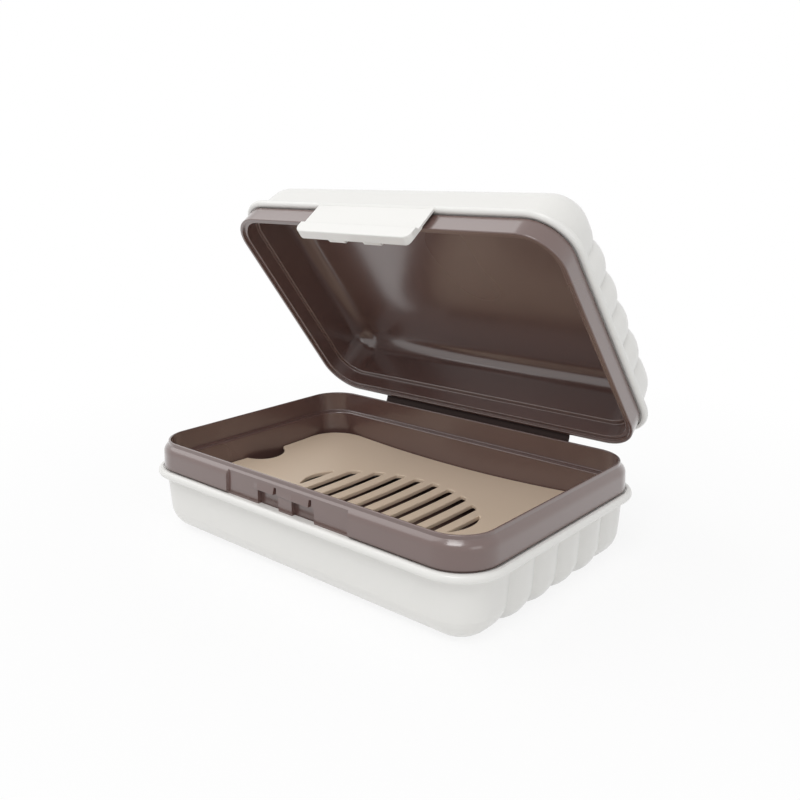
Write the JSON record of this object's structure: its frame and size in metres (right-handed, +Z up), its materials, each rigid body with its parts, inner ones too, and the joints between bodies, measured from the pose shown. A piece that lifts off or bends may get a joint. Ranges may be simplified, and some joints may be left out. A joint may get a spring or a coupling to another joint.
{
  "type": "travel soap box",
  "caption": "Hinged travel soap box with a two-shell case, snap tab, strap hinge and lift-out slotted drain tray.",
  "frame": {"origin": "centre of the base's flat underside", "axes": "+X along the length of the case, -Y towards the snap tab, +Z up from the underside; the lid stands open as pictured"},
  "size_m": [0.1238, 0.0975, 0.1016],
  "materials": {
    "shell": "warm white moulded plastic, satin to glossy",
    "liner": "dark grey-brown moulded plastic, glossy",
    "strap": "the liner's grey-brown plastic, thin and flexible",
    "tray": "beige moulded plastic, satin"
  },
  "bodies": {
    "base": {"base_shell": "shell", "base_liner": "liner", "hinge_strap": "strap"},
    "lid": {"lid_shell": "shell", "lid_liner": "liner"},
    "snap_tab": {"latch_tab": "shell"},
    "tray": {"drain_tray": "tray"}
  },
  "joints": [
    {"name": "lid_hinge", "type": "hinge", "parent": "base", "child": "lid", "pos_m": [0, 0.0426, 0.02635], "axis": [-1, 0, 0], "range_deg": [-52.4, 127.6], "deforming": ["hinge_strap"]},
    {"name": "tab_flex", "type": "hinge", "parent": "lid", "child": "snap_tab", "pos_m": [0, -0.00449, 0.09725], "axis": [-1, 0, 0], "range_deg": [0, 8], "stiffness_Nm_per_rad": 0.5},
    {"name": "tray_lift", "type": "slide", "parent": "base", "child": "tray", "axis": [0, 0, 1], "range_m": [0, 0.028]}
  ]
}
